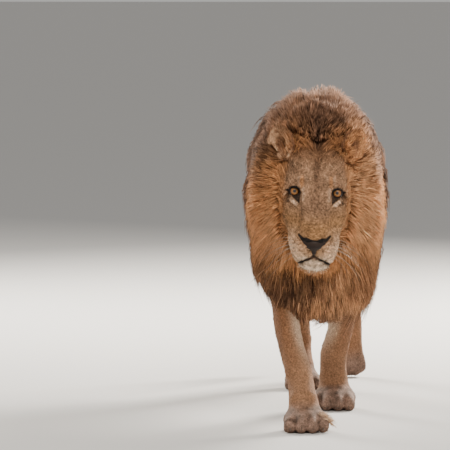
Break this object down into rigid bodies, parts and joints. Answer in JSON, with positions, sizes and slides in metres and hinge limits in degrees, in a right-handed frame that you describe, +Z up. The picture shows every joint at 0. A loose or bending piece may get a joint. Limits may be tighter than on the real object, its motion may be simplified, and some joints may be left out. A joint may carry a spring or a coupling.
{
  "type": "lion",
  "caption": "Life-size still model of a male lion in mid walk, head carried low, with a full dark and ochre mane, as a museum shows one.",
  "frame": {"origin": "bottom centre of the whole lion, on the floor", "axes": "+Z up, the lion faces -Y, its left side is +X"},
  "size_m": [0.46, 2.01, 1.0537],
  "materials": {
    "coat_tan": "short tan fur with a fine darker speckle",
    "coat_pale": "short pale fur of muzzle, chin and inner legs",
    "mane_dark": "long dark brown mane hair",
    "mane_ochre": "long golden ochre mane hair",
    "ear_fur": "short fur with a pale rim",
    "nose_leather": "dark pebbled skin, slightly moist",
    "claw": "translucent horn",
    "whisker": "stiff pale hair",
    "eye": "clear wet surface over an amber iris"
  },
  "bodies": {
    "root": {"neck": "coat_tan", "head": "coat_tan", "ribs": "coat_tan", "belly": "coat_tan", "chest": "coat_tan", "rump": "coat_tan", "tail_root": "coat_tan", "tail_end": "coat_tan", "foreleg_right_upper": "coat_tan", "foreleg_right_forearm": "coat_tan", "foreleg_right_pastern": "coat_tan", "foreleg_right_paw": "coat_tan", "foreleg_left_upper": "coat_tan", "foreleg_left_forearm": "coat_tan", "foreleg_left_pastern": "coat_tan", "foreleg_left_paw": "coat_tan", "hindleg_right_thigh": "coat_tan", "hindleg_right_shank": "coat_tan", "hindleg_right_hock": "coat_tan", "hindleg_right_paw": "coat_tan", "hindleg_left_thigh": "coat_tan", "hindleg_left_shank": "coat_tan", "hindleg_left_hock": "coat_tan", "hindleg_left_paw": "coat_tan", "muzzle": "coat_pale", "jaw": "coat_pale", "mane_crest": "mane_dark", "mane_bib": "mane_dark", "mane_shoulder_left": "mane_dark", "mane_shoulder_right": "mane_dark", "tail_tuft": "mane_dark", "mane_ruff_left": "mane_ochre", "mane_ruff_right": "mane_ochre", "ear_left": "ear_fur", "ear_right": "ear_fur", "nose": "nose_leather", "eye_left": "eye", "eye_right": "eye"}
  },
  "joints": []
}
